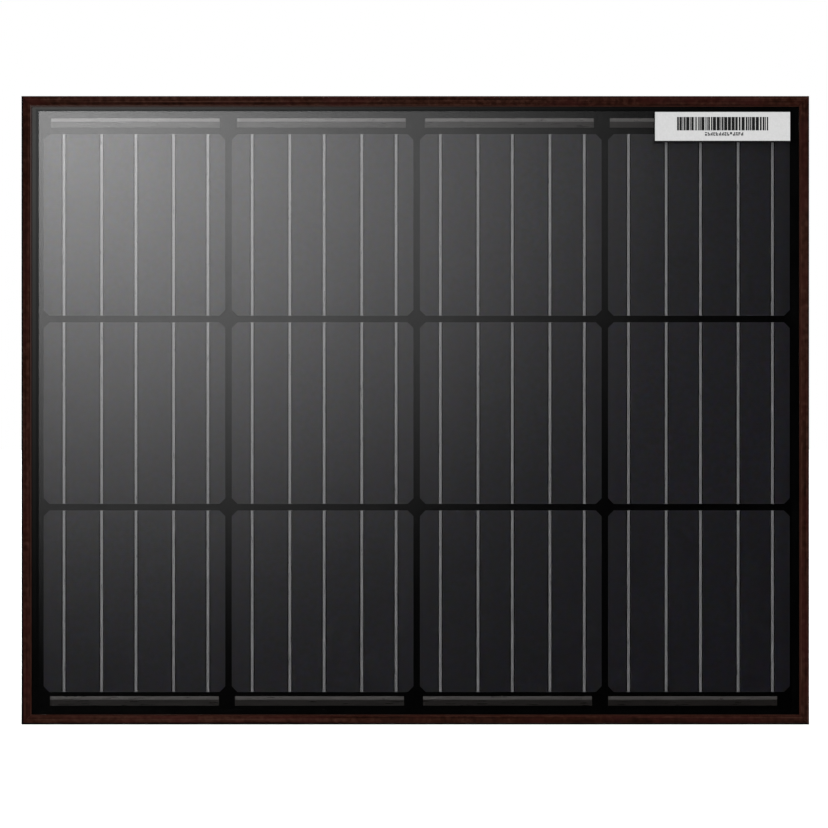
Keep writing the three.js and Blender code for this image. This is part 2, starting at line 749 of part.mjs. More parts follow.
function glandBody() {
  const clawRoot = GLAND_THREAD - NUT_CLEARANCE;
  const tube = turned([
    [GLAND_BORE, -SHANK_INSIDE],
    [GLAND_SHANK, -SHANK_INSIDE],
    [GLAND_SHANK, FLANGE_LENGTH / 2],
    [GLAND_THREAD, FLANGE_LENGTH / 2],
    [GLAND_THREAD, THREAD_END],
    [clawRoot, THREAD_END],
    [clawRoot - NUT_CLEARANCE, CLAW_END],
    [GLAND_BORE, CLAW_END],
  ]);
  const flangeHole = axialHole(GLAND_BORE + 2 * BORE_CLEARANCE, -CUT, FLANGE_LENGTH + CUT);
  const flange = solid(hexagon(GLAND_FLATS, 0, FLANGE_LENGTH)).subtract(flangeHole);
  const slitLength = 2 * (CLAW_END - THREAD_END);
  const slits = Array.from({ length: CLAW_SLITS }, (_, i) => {
    const slit = new THREE.BoxGeometry(GLAND_FLATS, CLAW_SLIT, slitLength);
    slit.rotateZ((i * Math.PI) / CLAW_SLITS);
    return solid(slit.translate(0, 0, -CLAW_END - BORE_CLEARANCE));
  });
  return slits.reduce((left, slit) => left.subtract(slit), solid(tube).add(flange));
}

function glandSeal() {
  const outer = GLAND_BORE - BORE_CLEARANCE / 2;
  return turned([
    [SEAL_BORE, SEAL_TOP],
    [outer, SEAL_TOP],
    [outer, SEAL_END - 2 * BORE_CLEARANCE],
    [SEAL_BORE, SEAL_END],
  ]);
}

// A hexagon on its upper part that narrows to a round nose.
function glandNut() {
  const outer = solid(turned([
    [0, NUT_TOP],
    [NUT_RADIUS - 0.5, NUT_TOP],
    [NUT_RADIUS, NUT_TOP + 0.8],
    [NUT_RADIUS, 12],
    [7, 14.2],
    [6.6, 16.5],
    [5.6, 18.8],
    [4.4, NUT_END],
    [0, NUT_END],
  ]));
  const hex = solid(hexagon(GLAND_FLATS, NUT_TOP - CUT, NUT_END + CUT));
  const thread = GLAND_THREAD + NUT_CLEARANCE;
  const bore = solid(turned([
    [0, NUT_TOP - CUT],
    [thread, NUT_TOP - CUT],
    [thread, NUT_SHOULDER - CUT],
    [thread - 0.8, NUT_SHOULDER],
    [NUT_MOUTH, NUT_SHOULDER],
    [NUT_MOUTH, NUT_END + CUT],
    [0, NUT_END + CUT],
  ]));
  return outer.intersect(hex).subtract(bore);
}

function lockNut() {
  const bottom = -BOX_WALL - BORE_CLEARANCE / 2;
  const top = bottom - LOCK_NUT_LENGTH;
  const hole = axialHole(GLAND_SHANK + BORE_CLEARANCE, top - CUT, bottom + CUT);
  return solid(hexagon(LOCK_NUT_FLATS, top, bottom)).subtract(hole);
}

for (const [name, x] of GLAND_PLACES) {
  const gland = new THREE.Group();
  gland.position.set(x, depthToY(GLAND_DEPTH), -BOX_HEIGHT / 2);
  box.add(gland);
  add(`gland_${name}_body`, geometryOf(glandBody()), blackPlastic, gland);
  add(`gland_${name}_lock_nut`, geometryOf(lockNut()), blackPlastic, gland);
  add(`gland_${name}_seal`, glandSeal(), rubber, gland);
  add(`gland_${name}_nut`, geometryOf(glandNut()), blackPlastic, gland);
}

export default panel;
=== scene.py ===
"""Looks for a framed twelve-cell solar panel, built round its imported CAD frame.

Metres, +Z up. The glass faces -Y, and the origin is the middle of the panel's rear plane.
"""

import itertools
import math
import random

import bmesh
import bpy
from mathutils import Matrix, Vector


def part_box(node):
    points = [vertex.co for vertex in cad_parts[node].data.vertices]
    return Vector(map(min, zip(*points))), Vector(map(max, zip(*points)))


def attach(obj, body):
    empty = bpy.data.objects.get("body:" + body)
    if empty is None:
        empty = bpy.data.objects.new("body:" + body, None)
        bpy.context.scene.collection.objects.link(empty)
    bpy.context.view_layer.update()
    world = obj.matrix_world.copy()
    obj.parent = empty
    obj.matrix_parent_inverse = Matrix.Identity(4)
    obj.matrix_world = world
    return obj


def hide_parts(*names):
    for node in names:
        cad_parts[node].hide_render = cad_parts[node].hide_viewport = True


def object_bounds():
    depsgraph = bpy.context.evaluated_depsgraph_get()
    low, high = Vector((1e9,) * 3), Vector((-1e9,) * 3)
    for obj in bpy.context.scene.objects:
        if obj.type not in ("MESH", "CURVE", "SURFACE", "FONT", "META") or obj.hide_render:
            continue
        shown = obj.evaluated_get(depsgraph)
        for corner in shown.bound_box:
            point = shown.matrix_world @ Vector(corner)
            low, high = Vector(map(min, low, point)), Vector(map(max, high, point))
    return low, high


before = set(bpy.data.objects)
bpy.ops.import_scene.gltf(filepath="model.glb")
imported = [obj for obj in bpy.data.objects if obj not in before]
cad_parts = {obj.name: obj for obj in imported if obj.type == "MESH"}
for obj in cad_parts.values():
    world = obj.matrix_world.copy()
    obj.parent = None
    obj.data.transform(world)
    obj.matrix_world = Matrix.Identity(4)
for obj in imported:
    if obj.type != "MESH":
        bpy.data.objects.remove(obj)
cad_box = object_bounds()

MM = 0.001
LOW, HIGH = cad_box
HALF_HEIGHT = (HIGH.z - LOW.z) / 2
SIDES = ("bottom", "left", "top", "right")
UPRIGHT = ("left", "right")
GLANDS = ("left", "right")
COLUMNS, ROWS = 4, 3
CELLS = [f"cell_row{row + 1}_col{column + 1}" for row in range(ROWS) for column in range(COLUMNS)]
RIBBON_OFFSETS = [offset * MM for offset in (-60.8, -28.3, 1.3, 33.8, 63.4)]  # from a cell's middle
BUS_BARS = [f"bus_bar_{place}_{column + 1}" for place in ("top", "bottom") for column in range(COLUMNS)]


def middle(node):
    low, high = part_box(node)
    return (Vector(low) + Vector(high)) / 2


def size(node):
    low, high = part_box(node)
    return Vector(high) - Vector(low)


# ---- Node trees ----


class Tree:
    """A material's or a world's node tree, with one short call for each kind of node."""

    def __init__(self, name, kind="Material"):
        owners = {"Material": bpy.data.materials, "World": bpy.data.worlds}
        self.owner = owners[kind].new(name)
        self.owner.use_nodes = True
        self.tree = self.owner.node_tree
        self.tree.nodes.clear()
        self.output = self.tree.nodes.new(f"ShaderNodeOutput{kind}")

    def node(self, kind, inputs=None, **settings):
        made = self.tree.nodes.new(f"ShaderNode{kind}")
        for key, value in settings.items():
            setattr(made, key, value)
        for key, value in (inputs or {}).items():
            self.put(made.inputs[key], value)
        return made

    def put(self, socket, value):
        if isinstance(value, bpy.types.NodeSocket):
            self.tree.links.new(value, socket)
        elif hasattr(socket.default_value, "__len__") and len(socket.default_value) == 4:
            socket.default_value = (*value, 1.0)[:4]
        else:
            socket.default_value = value

    def place(self, scale=(1, 1, 1)):
        """The object's own coordinates, stretched. All pieces share the world's origin."""
        coordinates = self.node("TexCoord").outputs["Object"]
        return self.node("Mapping", {"Vector": coordinates, "Scale": scale}).outputs["Vector"]

    def noise(self, scale, where=None, detail=3.0, rough=0.5):
        inputs = {"Scale": scale, "Detail": detail, "Roughness": rough}
        inputs["Vector"] = self.place() if where is None else where
        return self.node("TexNoise", inputs).outputs["Fac"]

    def tint(self, scale, low, high):
        """A drift of colour: three noises, one for each channel, spread between two levels."""
        coordinates = self.node("TexCoord").outputs["Object"]
        drift = self.node("TexNoise", {"Vector": coordinates, "Scale": scale, "Detail": 1.0}).outputs["Color"]
        limits = {"From Min": grey(0.36), "From Max": grey(0.64), "To Min": grey(low), "To Max": grey(high)}
        made = self.node("MapRange", data_type="FLOAT_VECTOR")
        self.tree.links.new(drift, made.inputs["Vector"])
        for socket in made.inputs:
            if socket.type == "VECTOR" and socket.name in limits:
                socket.default_value = limits[socket.name]
        return made.outputs["Vector"]

    def math(self, operation, *values):
        made = self.node("Math", operation=operation)
        for socket, value in zip(made.inputs, values, strict=False):
            self.put(socket, value)
        return made.outputs["Value"]

    def spread(self, value, low, high, to_low=0.0, to_high=1.0):
        inputs = {"Value": value, "From Min": low, "From Max": high, "To Min": to_low, "To Max": to_high}
        return self.node("MapRange", inputs).outputs["Result"]

    def mix(self, factor, first, second):
        made = self.node("Mix", data_type="RGBA")
        self.put(made.inputs["Factor"], factor)
        self.put(made.inputs[6], first)
        self.put(made.inputs[7], second)
        return made.outputs[2]

    def ramp(self, factor, *stops):
        made = self.node("ValToRGB", {"Fac": factor})
        elements = made.color_ramp.elements
        while len(elements) < len(stops):
            elements.new(0.5)
        for element, (at, colour) in zip(elements, stops, strict=True):
            element.position = at
            element.color = (*colour, 1)
        return made.outputs["Color"]

    def bump(self, height, strength, distance):
        inputs = {"Height": height, "Strength": strength, "Distance": distance}
        return self.node("Bump", inputs).outputs["Normal"]

    def finish(self, shader):
        """Ends the tree in this shader, and returns the material or the world."""
        self.tree.links.new(shader.outputs[0], self.output.inputs["Surface"])
        return self.owner

    def surface(self, **inputs):
        """A finished material from one principled shader."""
        names = {key.replace("_", " "): value for key, value in inputs.items()}
        return self.finish(self.node("BsdfPrincipled", names))


def grey(level):
    return (level, level, level)


# The glass's mirror image, carried by the coat of everything that lies under the sheet.
UNDER_GLASS = {"Coat_Weight": 1.0, "Coat_Roughness": 0.12, "Coat_IOR": 1.5}


# ---- Materials ----


def anodised_material(name, along, level=0.79, shade_axis=None, edge=0.0, shade_width=0.0):
    """Dark brown anodised aluminium, with drawing lines along the rail's own axis.

    The front is more blotchy, and one outer edge of it can carry a black line, which is painted shade for
    the rail's unlit outer side. The level scales every colour: a painted brightness, set for each rail by how
    the light falls on it.
    """
    t = Tree(name)

    def shade(*colour):
        return tuple(level * c for c in colour)

    def stretched(along_scale, across_scale, detail, rough=0.5):
        scale = tuple(along_scale if axis == along else across_scale for axis in "XYZ")
        return t.noise(1.0, t.place(scale), detail, rough)

    die_lines = stretched(3, 640, detail=2.0, rough=0.6)
    fine_lines = stretched(4, 1500, detail=2.0)
    patch = stretched(30, 120, detail=3.0)
    blotch = t.noise(230.0, detail=3.0, rough=0.6)
    handling = t.noise(26.0, detail=5.0, rough=0.6)

    streak = t.math("ADD", t.math("MULTIPLY", die_lines, 0.55), t.math("MULTIPLY", blotch, 0.45))
    brown = t.ramp(
        streak,
        (0.35, shade(0.0060, 0.0010, 0.0002)),
        (0.50, shade(0.0200, 0.0048, 0.0020)),
        (0.66, shade(0.0450, 0.0175, 0.0115)),
    )
    front = t.mix(t.spread(patch, 0.48, 0.66, 0.0, 0.4), brown, shade(0.0310, 0.0036, 0.0038))
    dark, light = shade(0.0135, 0.0040, 0.0024), shade(0.0265, 0.0098, 0.0066)
    drawn = t.mix(t.spread(fine_lines, 0.35, 0.65), dark, light)
    other = t.mix(t.spread(handling, 0.5, 0.75, 0.0, 0.35), drawn, shade(0.0330, 0.0150, 0.0110))
    facing = t.node("SeparateXYZ", {"Vector": t.node("NewGeometry").outputs["Normal"]}).outputs["Y"]
    colour = t.mix(t.spread(facing, -0.7, -0.3), front, other)
    # Painted shade: a near-black line along the front's outer edge, standing in for the rail's unlit outer
    # side.
    if shade_axis:
        front_depth = 0.5 * MM
        place = t.node("SeparateXYZ", {"Vector": t.place()})
        from_edge = t.math("SUBTRACT", place.outputs[shade_axis], edge)
        line = t.spread(from_edge, shade_width, shade_width * 0.7)
        on_front = t.math("LESS_THAN", place.outputs["Y"], LOW.y + front_depth)
        colour = t.mix(t.math("MULTIPLY", line, on_front), colour, grey(0.0006))
    return t.surface(
        Base_Color=colour,
        Metallic=0.1,
        Roughness=t.spread(handling, 0.3, 0.7, 0.34, 0.50),
        Specular_IOR_Level=0.07,
        Normal=t.bump(t.math("ADD", streak, fine_lines), 0.12, 0.0002),
    )


def polished_edge_material():
    """The rails' rubbed inner edge: the frame's brown, smoother and a little shinier."""
    t = Tree("rail_edge_look")
    rub = t.noise(1.0, t.place((90, 90, 90)), detail=3.0)
    return t.surface(
        Base_Color=t.mix(t.spread(rub, 0.3, 0.7), (0.0150, 0.0045, 0.0028), (0.0210, 0.0070, 0.0046)),
        Roughness=t.spread(rub, 0.3, 0.7, 0.14, 0.22),
        Specular_IOR_Level=0.085,
        Normal=t.bump(rub, 0.05, 0.0001),
    )


def gasket_material(name, shine, tint):
    """Black extruded rubber. A strip is shinier beside the frame than at its thin edge."""
    t = Tree(name)
    grain = t.noise(900.0, detail=4.0)
    bloom = t.noise(35.0, detail=3.0)
    return t.surface(
        Base_Color=t.mix(t.spread(bloom, 0.35, 0.7), grey(0.0004), grey(0.0009)),
        Roughness=t.spread(grain, 0.3, 0.7, 0.13, 0.18),
        Specular_IOR_Level=shine,
        Specular_Tint=tint,
        Normal=t.bump(grain, 0.02, 0.0001),
    )


def glass_material():
    """Low-iron glass with a faint orange-peel front. Only its outer side mirrors.

    Its own mirror image is what a slanting view adds. The head-on part is on the coats under it.
    """
    t = Tree("solar_glass_look")
    head_on = 0.045  # what the glass mirrors in a straight view, which the coats carry
    peel = t.noise(420.0, detail=2.0)
    normal = t.bump(peel, 0.03, 0.0001)
    geometry = t.node("NewGeometry")
    facing = t.node("SeparateXYZ", {"Vector": geometry.outputs["Normal"]}).outputs["Y"]
    from_outside = t.math("SUBTRACT", 1.0, geometry.outputs["Backfacing"])
    on_front = t.math("MULTIPLY", from_outside, t.math("LESS_THAN", facing, -0.5))
    fresnel = t.node("Fresnel", {"IOR": 1.5, "Normal": normal}).outputs[0]
    share = t.math("MULTIPLY", t.spread(fresnel, head_on, 1.0), on_front)
    clear = t.node("BsdfTransparent", {"Color": grey(0.995)}).outputs[0]
    mirror = t.node("BsdfAnisotropic", {"Color": grey(1.0), "Roughness": 0.12, "Normal": normal}).outputs[0]
    return t.finish(t.node("MixShader", {0: share, 1: clear, 2: mirror}))


CELL_PITCH = (middle("cell_row1_col2") - middle("cell_row1_col1")).x


def cell_grid(t):
    """Distances across and up, twice: from the cells' lower left corner, and from each cell's middle."""
    corner = middle("cell_row3_col1") - Vector((CELL_PITCH / 2, 0, CELL_PITCH / 2))
    parts = t.node("SeparateXYZ", {"Vector": t.place()})
    along = [t.math("SUBTRACT", parts.outputs[axis], at) for axis, at in (("X", corner.x), ("Z", corner.z))]
    inside = [t.math("SUBTRACT", t.math("WRAP", a, CELL_PITCH, 0.0), CELL_PITCH / 2) for a in along]
    return along, inside


def silicon_material():
    """Textured silicon under its blue-black coating, with printed fingers across each cell."""
    t = Tree("silicon_cell_look")
    border_width, finger_pitch, finger_share = 1.1 * MM, 1.55 * MM, 0.07
    border_from = size(CELLS[0]).x / 2 - border_width
    along, inside = cell_grid(t)
    from_middle = t.math("MAXIMUM", *[t.math("ABSOLUTE", a) for a in inside])
    border = t.math("GREATER_THAN", from_middle, border_from)
    wave = t.math("FRACT", t.math("DIVIDE", inside[1], finger_pitch))
    on_finger = t.math("GREATER_THAN", wave, 1.0 - finger_share)
    finger = t.math("MULTIPLY", on_finger, t.math("SUBTRACT", 1.0, border))
    steps = [t.math("FLOOR", t.math("DIVIDE", a, CELL_PITCH)) for a in along]
    cell_number = t.node("CombineXYZ", {"X": steps[0], "Z": steps[1]}).outputs[0]
    own = t.node("TexWhiteNoise", {"Vector": cell_number}).outputs["Value"]
    cloud = t.noise(48.0, detail=5.0, rough=0.65)
    speck = t.noise(620.0, detail=2.0)
    tone = t.math("ADD", t.math("MULTIPLY", cloud, 0.75), t.math("MULTIPLY", own, 0.25))
    blue = t.ramp(
        tone,
        (0.25, (0.0012, 0.0010, 0.0030)),
        (0.50, (0.0020, 0.0016, 0.0043)),
        (0.75, (0.0031, 0.0023, 0.0058)),
    )
    mottled = t.node("VectorMath", {0: blue, 1: t.tint(210.0, 0.0, 2.0)}, operation="MULTIPLY").outputs[0]
    dusty = t.mix(t.spread(speck, 0.45, 0.75, 0.0, 0.5), mottled, (0.0058, 0.0053, 0.0074))
    edged = t.mix(t.math("MULTIPLY", border, 0.45), dusty, (0.0058, 0.0058, 0.0076))
    return t.surface(
        Base_Color=t.mix(t.math("MULTIPLY", finger, 0.14), edged, (0.035, 0.035, 0.036)),
        Roughness=t.spread(speck, 0.3, 0.7, 0.30, 0.42),
        Specular_IOR_Level=0.38,
        Normal=t.bump(speck, 0.06, 0.0001),
        **UNDER_GLASS,
    )


def ribbon_material():
    """Tin-coated copper strip: dull, with solder marks down its length."""
    t = Tree("ribbon_look")
    streak = t.noise(1.0, t.place((1500, 1500, 90)), detail=3.0)
    return t.surface(
        Base_Color=t.mix(t.spread(streak, 0.3, 0.7), (0.065, 0.065, 0.068), (0.091, 0.091, 0.095)),
        Roughness=t.spread(streak, 0.3, 0.7, 0.26, 0.36),
        Specular_IOR_Level=0.85,
        Normal=t.bump(streak, 0.1, 0.0001),
        **UNDER_GLASS,
    )


def bus_material(name, shine, dark, light):
    """Metal along a cell's edge, its painted highlight, or the darker band beside a strip: streaked, under
    the glass.
    """
    t = Tree(name)
    streak = t.noise(1.0, t.place((60, 900, 900)), detail=3.0)
    return t.surface(
        Base_Color=t.mix(t.spread(streak, 0.3, 0.7), dark, light),
        Roughness=t.spread(streak, 0.3, 0.7, 0.26, 0.36),
        Specular_IOR_Level=shine,
        Normal=t.bump(streak, 0.1, 0.0001),
        **UNDER_GLASS,
    )


def front_film_material():
    """The black film between the cells, seen through the glass."""
    t = Tree("front_film_look")
    weave = t.noise(700.0, detail=3.0)
    cloud = t.noise(12.0, detail=4.0)
    return t.surface(
        Base_Color=t.mix(t.spread(cloud, 0.3, 0.7), grey(0.0), grey(0.0003)),
        Roughness=t.spread(weave, 0.3, 0.7, 0.42, 0.58),
        Specular_IOR_Level=0.02,
        Normal=t.bump(weave, 0.08, 0.0001),
        **UNDER_GLASS,
    )


def rear_sheet_material():
    """Black film with a fine weave and a slight waviness."""
    t = Tree("black_backsheet_look")
    weave = t.noise(700.0, detail=3.0)
    cloud = t.noise(9.0, detail=5.0)
    fine = t.bump(weave, 0.1, 0.0001)
    wavy = t.node("Bump", {"Height": cloud, "Strength": 0.5, "Distance": 0.0004, "Normal": fine}).outputs[0]
    return t.surface(
        Base_Color=t.mix(t.spread(cloud, 0.3, 0.7), (0.0080, 0.0080, 0.0085), (0.0125, 0.0125, 0.0130)),
        Roughness=t.spread(weave, 0.3, 0.7, 0.34, 0.46),
        Specular_IOR_Level=0.4,
        Normal=wavy,
    )


def plastic_material(name, level, grain_size=0.16):
    """Moulded plastic with a spark-eroded grain, whose size is in mm."""
    t = Tree(name)
    grain = t.noise(2.0 / (grain_size * MM), detail=3.0)
    wear = t.noise(60.0, detail=4.0)
    return t.surface(
        Base_Color=t.mix(t.spread(wear, 0.35, 0.7), grey(level), grey(level * 1.5)),
        Roughness=t.spread(wear, 0.3, 0.7, 0.42, 0.56),
        Specular_IOR_Level=0.45,
        Normal=t.bump(grain, 0.18, 0.0001),
    )


def metal_material(name, colour, roughness):
    """Bare metal with fine scratches."""
    t = Tree(name)
    scratch = t.noise(1.0, t.place((160, 1600, 1600)), detail=3.0)
    darker = tuple(0.8 * c for c in colour)
    return t.surface(
        Base_Color=t.mix(t.spread(scratch, 0.3, 0.7), darker, colour),
        Metallic=1.0,
        Roughness=t.spread(scratch, 0.3, 0.7, roughness - 0.06, roughness + 0.1),
        Normal=t.bump(scratch, 0.1, 0.0001),
    )


def paper_material(name, low, high):
    """A dull grey between two levels, with a fine fibre."""
    t = Tree(name)
    fibre = t.noise(800.0, detail=4.0)
    return t.surface(
        Base_Color=t.mix(t.spread(fibre, 0.3, 0.7), grey(low), grey(high)),
        Roughness=0.62,
        Specular_IOR_Level=0.12,
        Normal=t.bump(fibre, 0.05, 0.0001),
    )


LOOK = {
    # The four rails are one finish. Their levels are painted light: the bottom rail is painted much lighter
    # and the left one a little lighter, for how the light falls on each. The bottom and left rails also carry
    # the painted shade line.
    "rail_top": anodised_material("anodised_top", "X"),
    "rail_bottom": anodised_material("anodised_bottom", "X", 0.91, "Z", LOW.z, shade_width=1.9 * MM),
    "rail_left": anodised_material("anodised_left", "Z", 0.80, "X", LOW.x, shade_width=1.8 * MM),
    "rail_right": anodised_material("anodised_right", "Z"),
    "gasket_outer": gasket_material("gasket_outer_look", 0.165, (1.0, 0.90, 0.84)),
    "gasket_middle": gasket_material("gasket_middle_look", 0.131, (1.0, 1.0, 0.97)),
    "gasket_inner": gasket_material("gasket_inner_look", 0.092, (0.97, 1.0, 1.0)),
    "rail_edge": polished_edge_material(),
    "glass": glass_material(),
    "silicon": silicon_material(),
    "ribbon": ribbon_material(),
    "ribbon_band": bus_material("flux_look", 0.10, grey(0.0026), grey(0.0040)),
    # Painted shade on the bus bars' dark body, and a painted highlight on the strip along their top edge.
    "bus": bus_material("bus_bar_look", 0.34, (0.0052, 0.0040, 0.0034), (0.0078, 0.0062, 0.0054)),
    "stripe": bus_material("bus_stripe_look", 0.76, (0.028, 0.025, 0.024), (0.037, 0.034, 0.033)),
    "front_film": front_film_material(),
    "backsheet": rear_sheet_material(),
    "plastic": plastic_material("box_plastic_look", 0.021),
    "nylon": plastic_material("gland_nylon_look", 0.018, 0.10),
    "rubber": plastic_material("seal_rubber_look", 0.010, 0.08),
    "steel": metal_material("zinc_steel_look", (0.62, 0.62, 0.60), 0.32),
    "alloy": metal_material("key_alloy_look", (0.55, 0.56, 0.57), 0.45),
    "brass": metal_material("terminal_look", (0.50, 0.40, 0.26), 0.36),
    "paper": paper_material("label_paper_look", 0.41, 0.445),
    "ink": paper_material("label_ink_look", 0.004, 0.010),
    "silicone": paper_material("silicone_look", 0.62, 0.72),
}


def dress(look, *nodes):
    """Gives CAD nodes their look."""
    for node in nodes:
        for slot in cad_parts[node].material_slots:
            slot.material = LOOK[look]


# ---- Pieces ----


def piece_from(bm, name, looks, body="panel", smooth_angle=None):
    """A finished piece from a bmesh, riding on a body."""
    bmesh.ops.recalc_face_normals(bm, faces=bm.faces)
    mesh = bpy.data.meshes.new(name)
    bm.to_mesh(mesh)
    bm.free()
    for look in looks:
        mesh.materials.append(LOOK[look])
    obj = bpy.data.objects.new(name, mesh)
    bpy.context.collection.objects.link(obj)
    if smooth_angle:
        mesh.shade_smooth()
        mesh.set_sharp_from_angle(angle=math.radians(smooth_angle))
    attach(obj, body)
    return obj


def add_block(bm, low, high, bevel=0.0, material=0):
    """A box, with rounded edges if there is a bevel. Returns its vertices."""
    low, high = Vector(low), Vector(high)
    scale = Matrix.Diagonal((*(high - low), 1))
    made = bmesh.ops.create_cube(bm, size=1, matrix=Matrix.Translation((low + high) / 2) @ scale)
    faces = {face for vertex in made["verts"] for face in vertex.link_faces}
    if bevel:
        edges = {edge for face in faces for edge in face.edges}
        result = bmesh.ops.bevel(bm, geom=list(edges), offset=bevel, segments=2, affect="EDGES", profile=0.5)
        faces = {f for f in faces if f.is_valid} | set(result["faces"])
    for face in faces:
        face.material_index = material
    return list({vertex for face in faces for vertex in face.verts})


def join_rings(bm, first, second):
    """A closed strip between two outlines. Returns its side faces, in the outlines' order."""
    following = [(i, (i + 1) % len(first)) for i in range(len(first))]
    sides = [bm.faces.new((first[i], first[j], second[j], second[i])) for i, j in following]
    bm.faces.new(first)
    bm.faces.new(list(reversed(second)))
    return sides


def front_of(node):
    """The depth of a node's front face."""
    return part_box(node)[0][1]


def make_ribbons():
    """Five strips on each cell, at the uneven spacing of hand-laid strings, each on a wider, darker band."""
    width, thick, lift = 2.3 * MM, 0.12 * MM, 0.02 * MM
    band_width, band_thick, band_lift = 4.2 * MM, 0.015 * MM, 0.005 * MM
    end_gap, band_end_gap = 0.1 * MM, 0.6 * MM
    made = []
    for cell in CELLS:
        low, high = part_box(cell)
        centre = middle(cell)
        bm = bmesh.new()
        for offset in RIBBON_OFFSETS:
            x = centre.x + offset
            add_block(
                bm,
                (x - width / 2, low[1] - thick, low[2] + end_gap),
                (x + width / 2, low[1] - lift, high[2] - end_gap),
                bevel=0.04 * MM,
            )
            # A darker band under each strip, reaching out a little beside it.
            add_block(
                bm,
                (x - band_width / 2, low[1] - band_thick, low[2] + band_end_gap),
                (x + band_width / 2, low[1] - band_lift, high[2] - band_end_gap),
                material=1,
            )
        ribbons = piece_from(bm, cell.replace("cell", "ribbons"), ["ribbon", "ribbon_band"])
        made.append(ribbons)
    return made


def make_bus_highlights():
    """A painted highlight along the upper edge of each bus bar, as on a bevelled bar lit from above. The rest
    of the bar is painted dark, as its shaded lower part.
    """
    height, thick, lift = 2.9 * MM, 0.08 * MM, 0.01 * MM
    end_gap = 0.3 * MM
    made = []
    for bar in BUS_BARS:
        low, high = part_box(bar)
        bm = bmesh.new()
        add_block(
            bm,
            (low[0] + end_gap, low[1] - thick, high[2] - height),
            (high[0] - end_gap, low[1] - lift, high[2]),
            bevel=0.03 * MM,
        )
        stripe = piece_from(bm, bar.replace("bar", "stripe"), ["stripe"])
        made.append(stripe)
    return made


def make_glass():
    """The sheet with its ground edges. It also stands for the clear film behind it, which doesn't show."""
    bm = bmesh.new()
    add_block(bm, *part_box("front_glass"), bevel=0.3 * MM)
    glass = piece_from(bm, "glass_sheet", ["glass"])
    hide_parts("front_glass", "encapsulant_front")


def make_rear_sheet():
    """The backsheet, pressed in between the cells and out over their ribbons.

    It is one grid of points, with a line at each end of every slope. A line's 0 or 1 says whether it is on a
    cell, and for the lines counted across also whether it is on a ribbon.
    """
    low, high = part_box("backsheet")
    half = size(CELLS[0]).x / 2
    press, slope = 0.2 * MM, 0.7 * MM
    cell_edges = [(-half - slope, 0), (-half + slope, 1), (half - slope, 1), (half + slope, 0)]
    ribbon_edges = [(-2 * slope, 0), (-slope, 1), (slope, 1), (2 * slope, 0)]
    across = [(low[0], 0, 0), (high[0], 0, 0)]
    for cell in CELLS[:COLUMNS]:
        centre = middle(cell).x
        across += [(centre + x, on_cell, 0) for x, on_cell in cell_edges]
        for offset in RIBBON_OFFSETS:
            across += [(centre + offset + x, 1, on_ribbon) for x, on_ribbon in ribbon_edges]
    up = [(low[2], 0), (high[2], 0)]
    for cell in CELLS[::COLUMNS]:
        up += [(middle(cell).z + z, on_cell) for z, on_cell in cell_edges]
    bm = bmesh.new()
    rows = []
    for z, row_on_cell in sorted(up):
        row = []
        for x, column_on_cell, on_ribbon in sorted(across):
            on_cell = row_on_cell * column_on_cell
            y = high[1] - press * (1 - on_cell) + press * on_ribbon * on_cell
            row.append(bm.verts.new((x, y, z)))
        rows.append(row)
    for lower, upper in itertools.pairwise(rows):
        for i in range(len(lower) - 1):
            bm.faces.new((lower[i], lower[i + 1], upper[i + 1], upper[i]))
    rim = bmesh.ops.extrude_edge_only(bm, edges=[edge for edge in bm.edges if edge.is_boundary])["geom"]
    for vertex in rim:
        if isinstance(vertex, bmesh.types.BMVert):
            vertex.co.y = low[1]
    bmesh.ops.contextual_create(bm, geom=[edge for edge in rim if isinstance(edge, bmesh.types.BMEdge)])
    sheet = piece_from(bm, "backsheet_pressed", ["backsheet"])
    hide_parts("backsheet")


def side_point(side, along, inward):
    """A point on a side of the panel: along it from its middle, and inward from its outer face."""
    turn = {"bottom": 0.0, "left": 0.5, "top": 1.0, "right": -0.5}[side] * math.pi
    across = HIGH.x if side in UPRIGHT else HALF_HEIGHT
    x = along * math.cos(turn) + (inward - across) * math.sin(turn)
    z = -along * math.sin(turn) + (inward - across) * math.cos(turn)
    return x, z


# How far the rails' fronts reach in from the panel's outer faces, and where each rail's polished edge starts
# and ends from there, in mm. The edges are uneven, as the photo shows them.
RAIL_LIP = 8.5 * MM
EDGE_REACH = {"bottom": (-1.2, 0.0), "left": (-0.9, 0.25), "top": (-0.2, 0.7), "right": (-1.2, 0.0)}


def gasket_lip(side):
    """How far a strip's lip reaches in from the panel's outer face."""
    low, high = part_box(f"glass_gasket_{side}")
    upwards = {"bottom": high[2] - LOW.z, "top": HIGH.z - low[2]}
    sideways = {"left": high[0] - LOW.x, "right": HIGH.x - low[0]}
    return {**upwards, **sideways}[side]


